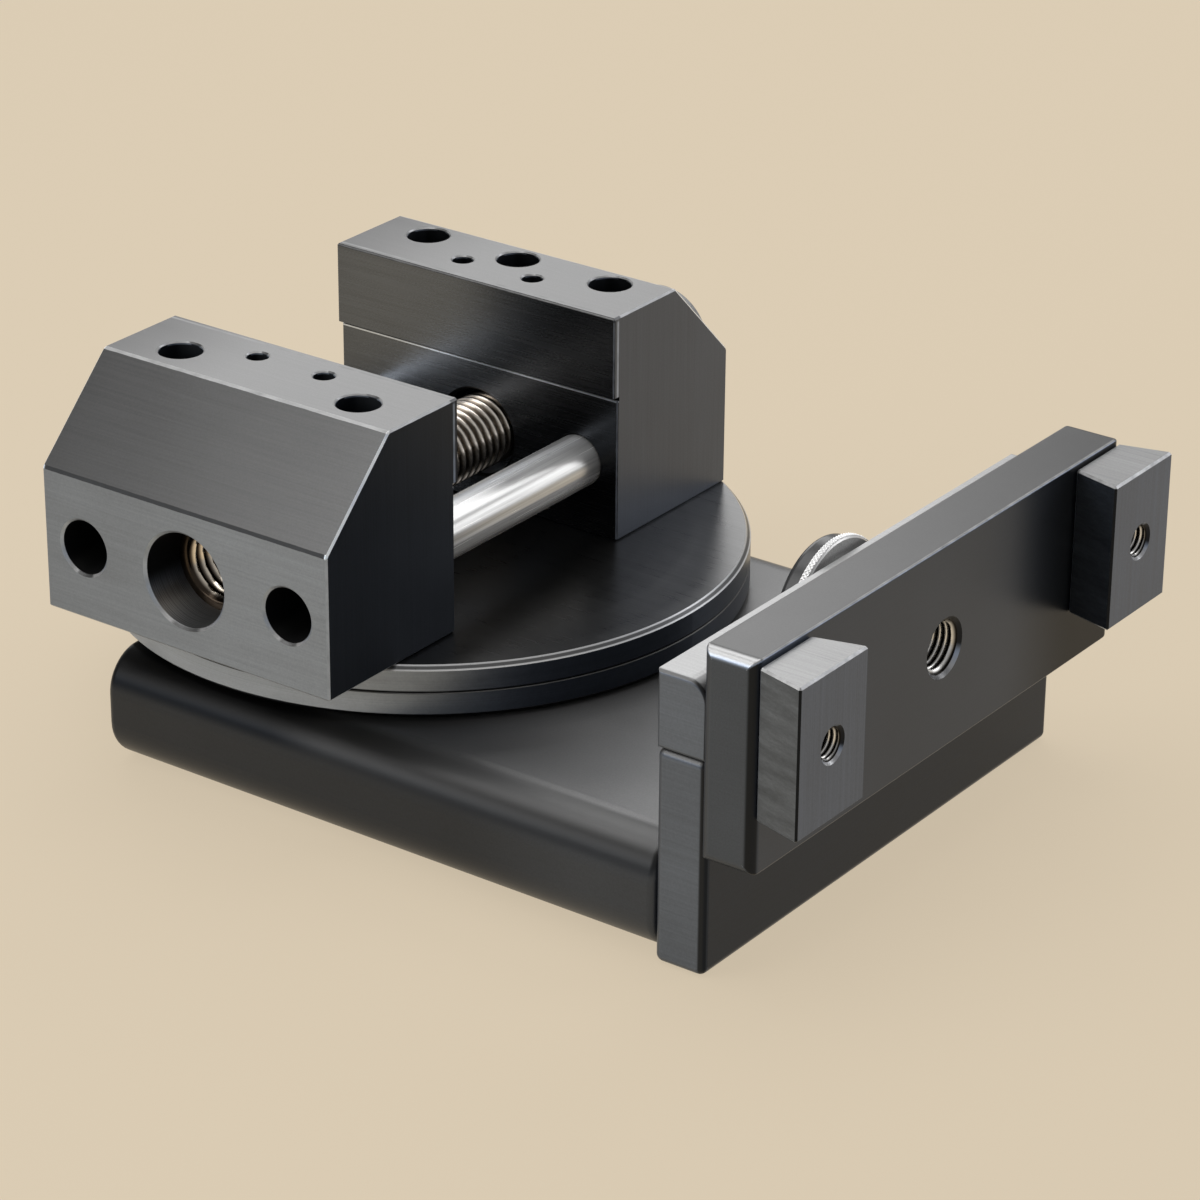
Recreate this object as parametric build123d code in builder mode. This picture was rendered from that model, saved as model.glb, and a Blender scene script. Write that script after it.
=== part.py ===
"""A screw vise on a turntable, with a side plate that carries a cross bar and two end blocks.

The origin is on the turntable's axis, in the plane of the bench. +X runs along the jaws, from the plain end of
the base to the cross bar, +Y runs in the clamping direction, from the front jaw to the rear jaw, and +Z is up.
"""
from build123d import *
import math
import os

# ---------------------------------------------------------------- driving dimensions, in millimetres
# base
base_length = 120.5  # along X
base_width = 110.0  # along Y
base_height = 21.5
axis_from_left = 26.0  # turntable axis from the plain end of the base
axis_from_front = 60.5  # turntable axis from the front of the base
base_top_radius = 8.0
base_bottom_radius = 4.5
base_end_radius = 1.6

# plates at the +X end
plate_thickness = 10.0
side_plate_height = 39.8
side_plate_radius = 1.5
upper_plate_height = 14.2
upper_plate_foot_radius = 4.0  # the long lower edge towards the turntable
upper_plate_radius = 1.0
upper_plate_end_radius = 0.8

# cross bar and its end blocks
bar_length = 114.0
bar_height = 38.8
bar_thickness = 10.5
bar_end_radius = 2.0
bar_side_radius = 0.5
bar_axis_height = 42.4  # clamp screw axis above the bench
block_inner_width = 14.6
block_slant = 15.0  # degrees, each side, wider away from the bar
block_thickness = 9.5
block_height = 27.5
block_drop = 1.1  # from the top of the bar to the top of a block
block_inset = 0.8  # from the end of the bar to the block's inner face
block_bevel = 0.4

# turntable and its pivot
turntable_diameter = 119.0
turntable_thickness = 10.0
turntable_bevel = 0.9
groove_width = 0.5
groove_depth = 0.3
thrust_washer_thickness = 0.5
thrust_washer_inner = 28.0
thrust_washer_outer = 43.0
hub_diameter = 26.0
hub_depth = 8.0
hub_side_gap = 0.5
hub_floor_gap = 0.5
post_diameter = 12.0
post_seat_depth = 10.0
pivot_bush_wall = 2.0
pivot_pocket_diameter = 22.0
pivot_pocket_depth = 5.0
retaining_washer_thickness = 1.5
retaining_washer_gap = 0.3  # at the rim of its pocket

# jaws
jaw_length = 64.0  # along X
jaw_depth = 36.0  # along Y
jaw_height = 44.0
jaw_chamfer = 17.0  # the large slope on the outer top edge
jaw_bevel = 0.35  # the small bevel on every outer edge
jaw_opening = 45.5  # at rest, as in the photo
rear_grip_from_axis = 13.7
slide_gap = 0.1  # under the front jaw
pad_proud = 1.2  # upper gripping pad in front of the relieved lower face
pad_height = 15.5  # from the top of the jaw
pad_groove_height = 0.8
pad_groove_depth = 0.5
screw_height = 13.7  # screw and rods above the turntable

# holes in the tops of the jaws
large_pin_diameter = 8.0
large_pin_web = 5.3  # of steel left between a large hole and the rods under it
small_pin_diameter = 4.0
small_pin_web = 9.55  # of steel left between a small hole and the threaded bush's bore under it
pin_hole_bevel = 0.25
front_large_pitch = 40.0
front_small_pitch = 15.0
front_large_setback = 12.2  # behind the gripping face
front_small_setback = 6.2
rear_large_pitch = 21.0
rear_small_pitch = 16.0
rear_large_setback = 13.8
rear_small_setback = 7.5

# guide rods and lead screw
rod_diameter = 10.0
rod_pitch = 46.0
rod_front_reach = 24.0  # inside the front jaw, at rest
rod_seat_wall = 4.0  # left behind the rod in the rear jaw
rod_end_bevel = 0.8
rod_bore_bevel = 0.5
lead_diameter = 14.0
lead_front_reach = 20.0  # inside the front jaw, at rest
lead_pitch = 2.0  # travel of the front jaw in one turn of the screw
lead_journal_diameter = 10.0
lead_recess_diameter = 16.6
lead_recess_depth = 6.3  # from the relieved lower face
threaded_bush_diameter = 17.5
threaded_bush_setback = 9.0  # behind the front jaw's outer face
threaded_bush_rear_setback = 0.8
threaded_bush_bevel = 0.8
screw_bush_wall = 2.0
screw_washer_thickness = 1.0
screw_washer_diameter = 20.0

# knob on the rear end of the lead screw
knob_diameter = 21.0
knob_length = 19.2
knob_bevel = 1.2
knob_hub_diameter = 16.0
knob_hub_length = 6.0
knob_dish_diameter = 14.0
knob_dish_depth = 1.5
knob_pin_diameter = 3.0
knob_pin_from_hub = 3.0

# clamp screw
clamp_thread_diameter = 8.0
clamp_reach = 4.4  # inside the bar
clamp_flange_diameter = 28.5
clamp_flange_thickness = 1.7
clamp_flange_bevel = 0.35
clamp_boss_diameter = 12.0
clamp_boss_length = 3.0
clamp_cap_diameter = 27.0
clamp_cap_length = 4.4
clamp_cap_dome = 1.6
clamp_cap_edge_radius = 1.2
clamp_washer_diameter = 22.0
clamp_washer_thickness = 1.0

# tapped holes that show
bar_thread_diameter = 10.0
bar_thread_depth = 5.8
bar_thread_bevel = 0.6
block_thread_diameter = 6.0
block_thread_bevel = 0.45

# fits, radial
running_clearance = 0.05
slip_clearance = 0.02
stud_clearance = 0.25
screw_clearance = 0.2
axial_gap = 0.1

# cap screws: thread, head diameter, head height and socket width of each size used
M4 = dict(thread=4.0, head=7.0, head_height=4.0, socket=3.0)
M6 = dict(thread=6.0, head=10.0, head_height=6.0, socket=5.0)
counterbore_gap = 0.3  # round and above a sunk head
side_screw_length = 20.0
side_screw_engagement = 7.0
side_screw_pitch = 40.0
side_screw_count = 3
side_screw_height = 11.5
side_dowel_diameter = 5.0
side_dowel_length = 14.0
side_dowel_pitch = 60.0
upper_screw_length = 25.0
upper_screw_engagement = 10.0
upper_screw_inner_pitch = 40.0
upper_screw_outer_pitch = 98.0
block_screw_length = 12.0
block_screw_pitch = 17.0
jaw_screw_length = 16.0
jaw_screw_pitch_x = 27.0
jaw_screw_pitch_y = 18.0
rod_set_diameter = 5.0
bush_lock_diameter = 4.0
set_screw_recess = 1.0
set_screw_socket = 2.5
set_screw_socket_depth = 2.0
retaining_screw_length = 10.0
retaining_screw_head = 10.5
retaining_screw_head_height = 3.2
retaining_screw_socket = 4.0

# ---------------------------------------------------------------- places worked out from them
base_left = -axis_from_left
base_right = base_left + base_length
base_front = -axis_from_front
base_back = base_front + base_width
base_middle = (base_front + base_back) / 2

plate_outer = base_right + plate_thickness
upper_plate_top = side_plate_height + upper_plate_height
bar_outer = plate_outer + bar_thickness
bar_bottom = bar_axis_height - bar_height / 2
bar_top = bar_axis_height + bar_height / 2
block_outer = bar_outer + block_thickness
block_middle_offset = bar_length / 2 - block_inset - block_inner_width / 2
block_outer_width = block_inner_width + 2 * block_thickness * math.tan(math.radians(block_slant))
block_top = bar_top - block_drop
block_thread_height = block_top - block_height / 2

turntable_bottom = base_height + thrust_washer_thickness
turntable_top = turntable_bottom + turntable_thickness
turntable_radius = turntable_diameter / 2
hub_bottom = turntable_bottom - hub_depth
hub_floor = hub_bottom - hub_floor_gap
pivot_pocket_floor = turntable_top - pivot_pocket_depth
post_top = pivot_pocket_floor + axial_gap
post_bottom = hub_floor - post_seat_depth
pivot_bush_radius = post_diameter / 2 + running_clearance + pivot_bush_wall

jaw_top = turntable_top + jaw_height
front_jaw_bottom = turntable_top + slide_gap
rear_grip = rear_grip_from_axis
rear_back = rear_grip + jaw_depth
front_grip = rear_grip - jaw_opening
front_outer = front_grip - jaw_depth
rear_lower_face = rear_grip + pad_proud
front_lower_face = front_grip - pad_proud
pad_bottom = jaw_top - pad_height
screw_z = turntable_top + screw_height

rod_radius = rod_diameter / 2
large_pin_depth = jaw_top - (screw_z + rod_radius) - large_pin_web
small_pin_depth = jaw_top - (screw_z + threaded_bush_diameter / 2) - small_pin_web
rod_front = front_grip - rod_front_reach
rod_back = rear_back - rod_seat_wall
lead_radius = lead_diameter / 2
lead_front = front_grip - lead_front_reach
lead_recess_floor = rear_lower_face + lead_recess_depth
lead_shoulder = lead_recess_floor - axial_gap
journal_radius = lead_journal_diameter / 2
screw_bush_radius = journal_radius + running_clearance + screw_bush_wall
threaded_bush_front = front_outer + threaded_bush_setback
threaded_bush_back = front_lower_face - threaded_bush_rear_setback
screw_washer_back = rear_back + screw_washer_thickness
knob_radius = knob_diameter / 2
knob_hub_front = screw_washer_back + axial_gap
knob_front = knob_hub_front + knob_hub_length
knob_back = knob_front + knob_length
knob_pin_y = knob_hub_front + knob_pin_from_hub

clamp_face = base_right - clamp_washer_thickness
clamp_flange_back = clamp_face - clamp_flange_thickness
clamp_cap_end = clamp_flange_back - clamp_cap_length


# ---------------------------------------------------------------- helpers
def across(x):
    """A plane square to X at x; its own x and y run along Y and Z."""
    return Plane(origin=(x, 0, 0), x_dir=(0, 1, 0), z_dir=(1, 0, 0))


def along(y):
    """A plane square to Y at y; its own x runs along -X and its own y along Z."""
    return Plane(origin=(0, y, 0), x_dir=(-1, 0, 0), z_dir=(0, 1, 0))


def save(builder, label):
    """Names a finished piece and writes it."""
    builder.part.label = label
    export_step(builder.part, f"parts/{label}.step")


def row(count, pitch):
    """Evenly spaced places about zero."""
    return [(i - (count - 1) / 2) * pitch for i in range(count)]


def disc(plane, radius, length, mode=Mode.ADD):
    """A round bar or bore of one radius, from the plane along its normal."""
    with BuildSketch(plane) as profile:
        Circle(radius)
    extrude(profile.sketch, amount=length, mode=mode)


def bevelled_disc(plane, radius, length, bevel):
    """A round bar with a bevel at both ends, along the plane's own y."""
    with BuildSketch(plane) as profile:
        with BuildLine():
            Polyline((0, 0), (radius - bevel, 0), (radius, bevel), (radius, length - bevel),
                     (radius - bevel, length), (0, length), close=True)
        make_face()
    revolve(profile.sketch, axis=Axis(plane.origin, plane.y_dir))


def mouth(plane, radius, bevel):
    """Opens the mouth of a bore of this radius by a bevel; the plane looks out of the bore."""
    with BuildSketch(plane) as wide:
        Circle(radius + bevel)
    with BuildSketch(plane.offset(-bevel)) as narrow:
        Circle(radius)
    loft([wide.sketch, narrow.sketch], mode=Mode.SUBTRACT)


def socket(plane, width, depth):
    """A hexagonal socket in the end of a screw; the plane looks out of it."""
    with BuildSketch(plane) as profile:
        RegularPolygon(width / 2, 6, major_radius=False)
    extrude(profile.sketch, amount=-depth, mode=Mode.SUBTRACT)


def cap_screw(seat, size, length):
    """A socket head screw; the seat plane lies under its head and looks out of the head."""
    disc(seat, size["head"] / 2, size["head_height"])
    disc(seat.offset(-length), size["thread"] / 2, length)
    socket(seat.offset(size["head_height"]), size["socket"], size["head_height"] / 2)


def set_screw(end, diameter, length):
    """A headless screw; the plane lies on its socket end and looks out of it."""
    disc(end.offset(-length), diameter / 2, length)
    socket(end, set_screw_socket, set_screw_socket_depth)


def at(plane, x=0.0, y=0.0, z=0.0):
    """The same plane with its origin at a point."""
    return Plane(origin=(x, y, z), x_dir=plane.x_dir, z_dir=plane.z_dir)


facing_up = Plane.XY
facing_down = Plane(origin=(0, 0, 0), x_dir=(1, 0, 0), z_dir=(0, 0, -1))
facing_right = across(0)
facing_left = Plane(origin=(0, 0, 0), x_dir=(0, -1, 0), z_dir=(-1, 0, 0))
facing_back = along(0)
facing_front = Plane(origin=(0, 0, 0), x_dir=(1, 0, 0), z_dir=(0, -1, 0))

os.makedirs("parts", exist_ok=True)

# ---------------------------------------------------------------- base
side_screw_places = [base_middle + y for y in row(side_screw_count, side_screw_pitch)]
side_dowel_places = [base_middle + y for y in row(2, side_dowel_pitch)]
side_screw_seat = base_right - (side_screw_length - side_screw_engagement)
side_pocket_length = side_screw_length + M6["head_height"] + 2 * counterbore_gap
side_pocket_width = M6["head"] + 2 * counterbore_gap + 1.4

with BuildPart() as base_block:
    with BuildSketch(across(base_left)) as base_profile:
        with Locations((base_middle, base_height / 2)):
            Rectangle(base_width, base_height)
        fillet(base_profile.vertices().group_by(Axis.Z)[-1], base_top_radius)
        fillet(base_profile.vertices().group_by(Axis.Z)[0], base_bottom_radius)
    extrude(amount=base_length)
    fillet(base_block.faces().filter_by(Axis.X).edges(), base_end_radius)
    disc(at(facing_up, z=hub_floor), hub_diameter / 2 + hub_side_gap, base_height - hub_floor, Mode.SUBTRACT)
    disc(at(facing_up, z=post_bottom), post_diameter / 2, post_seat_depth, Mode.SUBTRACT)
    for y in side_screw_places:
        with BuildSketch(facing_up):
            with Locations((side_screw_seat - side_pocket_length / 2, y)):
                Rectangle(side_pocket_length, side_pocket_width)
        extrude(amount=side_screw_height + side_pocket_width / 2, mode=Mode.SUBTRACT)
        hole_plane = at(facing_right, x=side_screw_seat, y=y, z=side_screw_height)
        disc(hole_plane, M6["thread"] / 2 + screw_clearance, base_right - side_screw_seat, Mode.SUBTRACT)
    for y in side_dowel_places:
        dowel_plane = at(facing_left, x=base_right, y=y, z=side_screw_height)
        disc(dowel_plane, side_dowel_diameter / 2, side_dowel_length / 2, Mode.SUBTRACT)
save(base_block, "base_block")

with BuildPart() as side_plate_screws:
    for y in side_screw_places:
        cap_screw(at(facing_left, x=side_screw_seat, y=y, z=side_screw_height), M6, side_screw_length)
save(side_plate_screws, "side_plate_screws")

with BuildPart() as side_plate_dowels:
    for y in side_dowel_places:
        dowel_plane = at(facing_right, x=base_right - side_dowel_length / 2, y=y, z=side_screw_height)
        disc(dowel_plane, side_dowel_diameter / 2, side_dowel_length)
save(side_plate_dowels, "side_plate_dowels")

# ---------------------------------------------------------------- side plate and upper plate
upper_screw_places = [base_middle + y for pitch in (upper_screw_inner_pitch, upper_screw_outer_pitch)
                      for y in row(2, pitch)]
upper_screw_seat = side_plate_height + upper_screw_engagement - upper_screw_length
plate_middle = (base_right + plate_outer) / 2


def stud_hole():
    """The clamp screw's hole, which crosses the seam between the two plates."""
    stud_plane = at(facing_right, x=base_right, y=base_middle, z=bar_axis_height)
    disc(stud_plane, clamp_thread_diameter / 2 + stud_clearance, plate_thickness, Mode.SUBTRACT)


with BuildPart() as side_plate:
    with BuildSketch(across(base_right)):
        with Locations((base_middle, side_plate_height / 2)):
            Rectangle(base_width, side_plate_height)
    extrude(amount=plate_thickness)
    fillet(side_plate.edges(), side_plate_radius)
    for y in side_screw_places:
        hole_plane = at(facing_right, x=base_right, y=y, z=side_screw_height)
        disc(hole_plane, M6["thread"] / 2, side_screw_engagement, Mode.SUBTRACT)
    for y in side_dowel_places:
        hole_plane = at(facing_right, x=base_right, y=y, z=side_screw_height)
        disc(hole_plane, side_dowel_diameter / 2, side_dowel_length / 2, Mode.SUBTRACT)
    for y in upper_screw_places:
        hole_plane = at(facing_up, x=plate_middle, y=y)
        disc(hole_plane, M4["thread"] / 2 + screw_clearance, side_plate_height, Mode.SUBTRACT)
        disc(hole_plane, M4["head"] / 2 + counterbore_gap, upper_screw_seat, Mode.SUBTRACT)
    stud_hole()
save(side_plate, "side_plate")

with BuildPart() as upper_plate:
    with BuildSketch(along(base_front)) as upper_profile:
        with Locations((-plate_middle, side_plate_height + upper_plate_height / 2)):
            Rectangle(plate_thickness, upper_plate_height)
        corners = upper_profile.vertices().sort_by(Axis.X)
        inner_corners = corners[:2].sort_by(Axis.Z)
        outer_corners = corners[2:]
        fillet(inner_corners[0], upper_plate_foot_radius)
        fillet([inner_corners[1], *outer_corners], upper_plate_radius)
    extrude(amount=base_width)
    fillet(upper_plate.faces().filter_by(Axis.Y).edges(), upper_plate_end_radius)
    stud_hole()
    for y in upper_screw_places:
        hole_plane = at(facing_up, x=plate_middle, y=y, z=side_plate_height)
        disc(hole_plane, M4["thread"] / 2, upper_screw_engagement, Mode.SUBTRACT)
save(upper_plate, "upper_plate")

with BuildPart() as upper_plate_screws:
    for y in upper_screw_places:
        cap_screw(at(facing_down, x=plate_middle, y=y, z=upper_screw_seat), M4, upper_screw_length)
save(upper_plate_screws, "upper_plate_screws")

# ---------------------------------------------------------------- cross bar and end blocks
block_sides = {"near_end_block": -1, "far_end_block": 1}
block_places = {name: base_middle + side * block_middle_offset for name, side in block_sides.items()}
block_screw_places = [(y, block_thread_height + z) for y in block_places.values()
                      for z in row(2, block_screw_pitch)]
block_head_depth = M4["head_height"] + counterbore_gap
block_screw_seat = plate_outer + block_head_depth
block_screw_end = block_screw_seat + block_screw_length

with BuildPart() as cross_bar:
    with BuildSketch(across(plate_outer)):
        with Locations((base_middle, bar_axis_height)):
            Rectangle(bar_length, bar_height)
    extrude(amount=bar_thickness)
    fillet(cross_bar.faces().filter_by(Axis.Y).edges(), bar_end_radius)
    fillet(cross_bar.edges().filter_by(Axis.Y), bar_side_radius)
    stud_plane = at(facing_right, x=plate_outer, y=base_middle, z=bar_axis_height)
    disc(stud_plane, clamp_thread_diameter / 2, bar_thickness, Mode.SUBTRACT)
    thread_plane = at(facing_right, x=bar_outer, y=base_middle, z=bar_axis_height)
    disc(thread_plane.offset(-bar_thread_depth), bar_thread_diameter / 2, bar_thread_depth, Mode.SUBTRACT)
    mouth(thread_plane, bar_thread_diameter / 2, bar_thread_bevel)
    for y, z in block_screw_places:
        screw_plane = at(facing_right, x=plate_outer, y=y, z=z)
        disc(screw_plane, M4["thread"] / 2 + screw_clearance, bar_thickness, Mode.SUBTRACT)
        disc(screw_plane, M4["head"] / 2 + counterbore_gap, block_head_depth, Mode.SUBTRACT)
save(cross_bar, "cross_bar")

for name, y in block_places.items():
    with BuildPart() as end_block:
        with BuildSketch(at(facing_up, z=block_top - block_height)):
            with BuildLine():
                Polyline((bar_outer, y - block_inner_width / 2), (block_outer, y - block_outer_width / 2),
                         (block_outer, y + block_outer_width / 2), (bar_outer, y + block_inner_width / 2),
                         close=True)
            make_face()
        extrude(amount=block_height)
        chamfer(end_block.edges(), block_bevel)
        thread_plane = at(facing_right, x=bar_outer, y=y, z=block_thread_height)
        disc(thread_plane, block_thread_diameter / 2, block_thickness, Mode.SUBTRACT)
        mouth(thread_plane.offset(block_thickness), block_thread_diameter / 2, block_thread_bevel)
        for z in row(2, block_screw_pitch):
            screw_plane = at(facing_right, x=bar_outer, y=y, z=block_thread_height + z)
            disc(screw_plane, M4["thread"] / 2, block_screw_end - bar_outer, Mode.SUBTRACT)
    save(end_block, name)

with BuildPart() as end_block_screws:
    for y, z in block_screw_places:
        cap_screw(at(facing_left, x=block_screw_seat, y=y, z=z), M4, block_screw_length)
save(end_block_screws, "end_block_screws")

# ---------------------------------------------------------------- clamp screw
clamp_seat = at(facing_left, x=clamp_face, y=base_middle, z=bar_axis_height)
clamp_stud_length = clamp_washer_thickness + plate_thickness + clamp_reach

with BuildPart() as clamp_screw:
    flange_plane = Plane(origin=clamp_seat.origin, x_dir=(0, 1, 0), z_dir=(0, 0, 1))
    bevelled_disc(flange_plane, clamp_flange_diameter / 2, clamp_flange_thickness, clamp_flange_bevel)
    disc(clamp_seat, clamp_boss_diameter / 2, clamp_flange_thickness + clamp_boss_length)
    disc(clamp_seat.offset(-clamp_stud_length), clamp_thread_diameter / 2 - running_clearance, clamp_stud_length)
save(clamp_screw, "clamp_screw")

cap_radius = clamp_cap_diameter / 2
cap_crown = clamp_flange_thickness + clamp_cap_length
cap_shoulder = cap_crown - clamp_cap_dome
cap_sphere = (cap_radius**2 + clamp_cap_dome**2) / (2 * clamp_cap_dome)
cap_halfway = cap_crown - cap_sphere + math.sqrt(cap_sphere**2 - (cap_radius / 2) ** 2)

with BuildPart() as clamp_knob_cap:
    with BuildSketch(flange_plane) as cap_profile:
        with BuildLine():
            Polyline((0, cap_crown), (0, clamp_flange_thickness), (cap_radius, clamp_flange_thickness),
                     (cap_radius, cap_shoulder))
            ThreePointArc((cap_radius, cap_shoulder), (cap_radius / 2, cap_halfway), (0, cap_crown))
        make_face()
        shoulder_corner = sorted(cap_profile.vertices(), key=lambda v: (round(v.X, 3), round(v.Y, 3)))[-1]
        fillet(shoulder_corner, clamp_cap_edge_radius)
    revolve(axis=Axis(flange_plane.origin, flange_plane.y_dir))
    disc(clamp_seat, clamp_boss_diameter / 2, clamp_flange_thickness + clamp_boss_length, Mode.SUBTRACT)
save(clamp_knob_cap, "clamp_knob_cap")

with BuildPart() as clamp_washer:
    disc(clamp_seat.offset(-clamp_washer_thickness), clamp_washer_diameter / 2, clamp_washer_thickness)
    bore_radius = clamp_thread_diameter / 2 + stud_clearance
    disc(clamp_seat.offset(-clamp_washer_thickness), bore_radius, clamp_washer_thickness, Mode.SUBTRACT)
save(clamp_washer, "clamp_washer")

# ---------------------------------------------------------------- turntable and pivot
jaw_screw_places = [(x, rear_grip + jaw_depth / 2 + y)
                    for x in row(2, jaw_screw_pitch_x) for y in row(2, jaw_screw_pitch_y)]
jaw_screw_seat = turntable_bottom + M6["head_height"] + counterbore_gap
groove_middle = turntable_bottom + turntable_thickness / 2

with BuildPart() as turntable:
    with BuildSketch(Plane.XZ):
        with BuildLine():
            bevel = turntable_bevel
            Polyline((0, turntable_bottom), (turntable_radius - bevel, turntable_bottom),
                     (turntable_radius, turntable_bottom + bevel),
                     (turntable_radius, groove_middle - groove_width / 2),
                     (turntable_radius - groove_depth, groove_middle),
                     (turntable_radius, groove_middle + groove_width / 2),
                     (turntable_radius, turntable_top - bevel), (turntable_radius - bevel, turntable_top),
                     (0, turntable_top), close=True)
        make_face()
    revolve(axis=Axis.Z)
    disc(at(facing_up, z=hub_bottom), hub_diameter / 2, hub_depth)
    disc(at(facing_up, z=hub_bottom), pivot_bush_radius, hub_depth + turntable_thickness, Mode.SUBTRACT)
    disc(at(facing_up, z=pivot_pocket_floor), pivot_pocket_diameter / 2, pivot_pocket_depth, Mode.SUBTRACT)
    for x, y in jaw_screw_places:
        hole_plane = at(facing_up, x=x, y=y, z=turntable_bottom)
        disc(hole_plane, M6["thread"] / 2 + screw_clearance, turntable_thickness, Mode.SUBTRACT)
        sink_depth = M6["head_height"] + counterbore_gap
        disc(hole_plane, M6["head"] / 2 + counterbore_gap, sink_depth, Mode.SUBTRACT)
save(turntable, "turntable")

with BuildPart() as pivot_bush:
    bush_plane = at(facing_up, z=hub_bottom)
    disc(bush_plane, pivot_bush_radius, pivot_pocket_floor - hub_bottom)
    bore_radius = post_diameter / 2 + running_clearance
    disc(bush_plane, bore_radius, pivot_pocket_floor - hub_bottom, Mode.SUBTRACT)
save(pivot_bush, "pivot_bush")

with BuildPart() as pivot_post:
    disc(at(facing_up, z=post_bottom), post_diameter / 2, post_top - post_bottom)
    hole_plane = at(facing_down, z=post_top)
    disc(hole_plane, M6["thread"] / 2, retaining_screw_length, Mode.SUBTRACT)
save(pivot_post, "pivot_post")

with BuildPart() as thrust_washer:
    disc(at(facing_up, z=base_height), thrust_washer_outer / 2, thrust_washer_thickness)
    disc(at(facing_up, z=base_height), thrust_washer_inner / 2, thrust_washer_thickness, Mode.SUBTRACT)
save(thrust_washer, "thrust_washer")

with BuildPart() as retaining_washer:
    washer_radius = pivot_pocket_diameter / 2 - retaining_washer_gap
    disc(at(facing_up, z=post_top), washer_radius, retaining_washer_thickness)
    bore_radius = M6["thread"] / 2 + screw_clearance
    disc(at(facing_up, z=post_top), bore_radius, retaining_washer_thickness, Mode.SUBTRACT)
save(retaining_washer, "retaining_washer")

with BuildPart() as retaining_screw:
    low_head = dict(thread=M6["thread"], head=retaining_screw_head,
                    head_height=retaining_screw_head_height, socket=retaining_screw_socket)
    cap_screw(at(facing_up, z=post_top + retaining_washer_thickness), low_head, retaining_screw_length)
save(retaining_screw, "retaining_screw")

# ---------------------------------------------------------------- rear jaw
large_radius = large_pin_diameter / 2
small_radius = small_pin_diameter / 2
rod_places = row(2, rod_pitch)
rod_set_top = screw_z - rod_radius
rod_set_y = (rear_back + rear_grip) / 2


def jaw_body(jaw, bottom, grip, lower_face, back):
    """The outline of a jaw seen from its side, carried along X, with its small bevels.

    The outer side, at back, has the large chamfer, and the gripping side has a pad over a relieved lower face.
    """
    side = 1 if back > grip else -1
    groove_bottom = pad_bottom - pad_groove_height
    groove_face = lower_face + side * pad_groove_depth
    with BuildSketch(across(-jaw_length / 2)) as profile:
        with BuildLine():
            Polyline((lower_face, bottom), (back, bottom), (back, jaw_top - jaw_chamfer),
                     (back - side * jaw_chamfer, jaw_top), (grip, jaw_top), (grip, pad_bottom),
                     (groove_face, pad_bottom), (groove_face, groove_bottom), (lower_face, groove_bottom),
                     close=True)
        make_face()
    extrude(profile.sketch, amount=jaw_length)
    groove_reach = abs(groove_face - grip)
    groove_edges = [edge for edge in jaw.edges()
                    if groove_bottom - jaw_bevel < edge.center().Z < pad_bottom + jaw_bevel
                    and abs(edge.center().Y - grip) < groove_reach + jaw_bevel]
    chamfer([edge for edge in jaw.edges() if edge not in groove_edges], jaw_bevel)


def pin_hole(x, y, radius, depth):
    """A blind hole in the top of a jaw."""
    top_plane = at(facing_up, x=x, y=y, z=jaw_top)
    disc(top_plane.offset(-depth), radius, depth, Mode.SUBTRACT)
    mouth(top_plane, radius, pin_hole_bevel)


with BuildPart() as rear_jaw:
    jaw_body(rear_jaw, turntable_top, rear_grip, rear_lower_face, rear_back)
    for x in row(3, rear_large_pitch):
        pin_hole(x, rear_grip + rear_large_setback, large_radius, large_pin_depth)
    for x in row(2, rear_small_pitch):
        pin_hole(x, rear_grip + rear_small_setback, small_radius, small_pin_depth)
    for x in rod_places:
        seat_plane = at(facing_back, x=x, y=rear_lower_face, z=screw_z)
        disc(seat_plane, rod_radius, rod_back - rear_lower_face, Mode.SUBTRACT)
        mouth(at(facing_front, x=x, y=rear_lower_face, z=screw_z), rod_radius, rod_bore_bevel)
        set_plane = at(facing_up, x=x, y=rod_set_y, z=turntable_top)
        disc(set_plane, rod_set_diameter / 2, rod_set_top - turntable_top, Mode.SUBTRACT)
    lead_plane = at(facing_back, y=rear_lower_face, z=screw_z)
    disc(lead_plane, screw_bush_radius, jaw_depth, Mode.SUBTRACT)
    disc(lead_plane, lead_recess_diameter / 2, lead_recess_depth, Mode.SUBTRACT)
    mouth(at(facing_front, y=rear_lower_face, z=screw_z), lead_recess_diameter / 2, rod_bore_bevel)
    for x, y in jaw_screw_places:
        hole_plane = at(facing_up, x=x, y=y, z=turntable_top)
        tapped_depth = jaw_screw_seat + jaw_screw_length - turntable_top + 1.0
        disc(hole_plane, M6["thread"] / 2, tapped_depth, Mode.SUBTRACT)
save(rear_jaw, "rear_jaw")

with BuildPart() as rear_jaw_screws:
    for x, y in jaw_screw_places:
        cap_screw(at(facing_down, x=x, y=y, z=jaw_screw_seat), M6, jaw_screw_length)
save(rear_jaw_screws, "rear_jaw_screws")

for name, x in zip(("left_guide_rod", "right_guide_rod"), rod_places):
    with BuildPart() as guide_rod:
        rod_plane = Plane(origin=(x, rod_front, screw_z), x_dir=(1, 0, 0), z_dir=(0, 0, 1))
        bevelled_disc(rod_plane, rod_radius, rod_back - rod_front, rod_end_bevel)
    save(guide_rod, name)

with BuildPart() as rod_set_screws:
    for x in rod_places:
        end_z = turntable_top + set_screw_recess
        set_screw(at(facing_down, x=x, y=rod_set_y, z=end_z), rod_set_diameter, rod_set_top - end_z)
save(rod_set_screws, "rod_set_screws")

with BuildPart() as screw_bush:
    bush_plane = at(facing_back, y=lead_recess_floor, z=screw_z)
    bush_length = rear_back - lead_recess_floor
    disc(bush_plane, screw_bush_radius, bush_length)
    disc(bush_plane, journal_radius + running_clearance, bush_length, Mode.SUBTRACT)
save(screw_bush, "screw_bush")

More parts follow.
